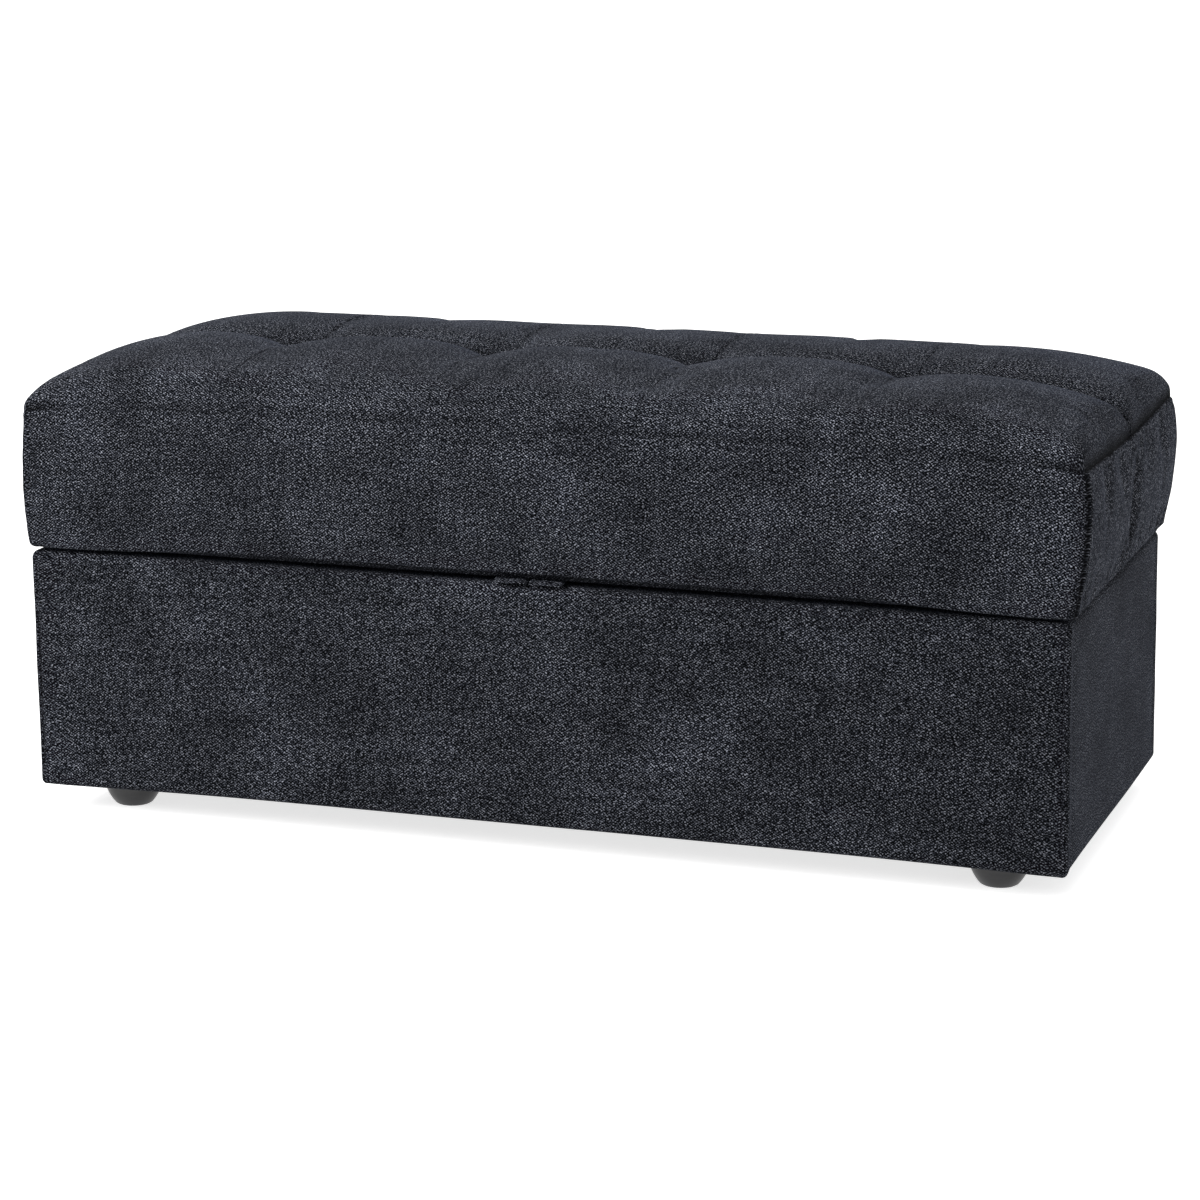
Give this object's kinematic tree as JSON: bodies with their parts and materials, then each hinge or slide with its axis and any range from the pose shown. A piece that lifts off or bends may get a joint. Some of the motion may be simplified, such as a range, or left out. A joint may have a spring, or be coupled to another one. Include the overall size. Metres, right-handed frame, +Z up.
{
  "type": "storage bench",
  "caption": "Long upholstered storage bench with a tufted padded lid hinged at the back, a lined box with folding lid stays, and round glide feet.",
  "frame": {"origin": "on the floor under the middle of the bench", "axes": "+X along the bench's length, front towards -Y, +Z up"},
  "size_m": [1.0664, 0.4762, 0.482],
  "materials": {
    "upholstery": "matte",
    "wadding": "matte",
    "foam": "matte",
    "lining": "matte",
    "twine": "matte",
    "plywood": "matte",
    "pine": "matte",
    "foot_plastic": "satin",
    "bumper_rubber": "matte",
    "zinc_steel": "satin"
  },
  "bodies": {
    "base": {"front_panel": "plywood", "back_panel": "plywood", "left_end_panel": "plywood", "right_end_panel": "plywood", "base_panel": "plywood", "corner_post_front_left": "pine", "corner_post_front_right": "pine", "corner_post_back_left": "pine", "corner_post_back_right": "pine", "front_top_rail": "pine", "back_top_rail": "pine", "left_end_rail": "pine", "right_end_rail": "pine", "front_bottom_rail": "pine", "back_bottom_rail": "pine", "body_wadding": "wadding", "body_cover": "upholstery", "box_lining": "lining", "floor_lining": "lining", "dust_cover": "lining", "foot_front_left": "foot_plastic", "foot_front_right": "foot_plastic", "foot_back_left": "foot_plastic", "foot_back_right": "foot_plastic", "foot_screws": "zinc_steel", "frame_screws": "zinc_steel", "hinge_left_base_leaf": "zinc_steel", "hinge_right_base_leaf": "zinc_steel", "hinge_left_pin": "zinc_steel", "hinge_right_pin": "zinc_steel", "base_hardware_screws": "zinc_steel", "stay_left_base_bracket": "zinc_steel", "stay_right_base_bracket": "zinc_steel", "lid_bumpers": "bumper_rubber"},
    "lid": {"lid_board": "plywood", "seat_foam_base": "foam", "seat_foam_topper": "foam", "lid_wadding": "wadding", "lid_top_cover": "upholstery", "lid_front_band": "upholstery", "lid_back_band": "upholstery", "lid_left_band": "upholstery", "lid_right_band": "upholstery", "lid_lining": "lining", "tuft_twines": "twine", "tuft_anchors": "foot_plastic", "hinge_left_lid_leaf": "zinc_steel", "hinge_right_lid_leaf": "zinc_steel", "lid_hardware_screws": "zinc_steel", "stay_left_lid_bracket": "zinc_steel", "stay_right_lid_bracket": "zinc_steel", "pull_tabs": "upholstery"},
    "stay_left_lower": {"stay_left_lower_arm": "zinc_steel", "stay_left_elbow_rivet": "zinc_steel"},
    "stay_left_upper": {"stay_left_upper_arm": "zinc_steel"},
    "stay_right_lower": {"stay_right_lower_arm": "zinc_steel", "stay_right_elbow_rivet": "zinc_steel"},
    "stay_right_upper": {"stay_right_upper_arm": "zinc_steel"}
  },
  "joints": [
    {"name": "lid_hinge", "type": "hinge", "parent": "base", "child": "lid", "pos_m": [0, 0.2345, 0.273], "axis": [-1, 0, 0], "range_deg": [0, 90]},
    {"name": "stay_left_base_pivot", "type": "hinge", "parent": "base", "child": "stay_left_lower", "pos_m": [-0.4695, 0.0845, 0.241], "axis": [-1, 0, 0], "range_deg": [0, 90]},
    {"name": "stay_left_lid_pivot", "type": "hinge", "parent": "lid", "child": "stay_left_upper", "pos_m": [-0.4665, 0.08145, 0.263], "axis": [-1, 0, 0], "range_deg": [-90, 0]},
    {"name": "stay_right_base_pivot", "type": "hinge", "parent": "base", "child": "stay_right_lower", "pos_m": [0.4695, 0.0845, 0.241], "axis": [-1, 0, 0], "range_deg": [0, 90]},
    {"name": "stay_right_lid_pivot", "type": "hinge", "parent": "lid", "child": "stay_right_upper", "pos_m": [0.4665, 0.08145, 0.263], "axis": [-1, 0, 0], "range_deg": [-90, 0]}
  ],
  "couplings": [
    {"joint": "stay_left_base_pivot", "follows": "lid_hinge", "ratio": 1},
    {"joint": "stay_left_lid_pivot", "follows": "lid_hinge", "ratio": -1},
    {"joint": "stay_right_base_pivot", "follows": "lid_hinge", "ratio": 1},
    {"joint": "stay_right_lid_pivot", "follows": "lid_hinge", "ratio": -1}
  ]
}
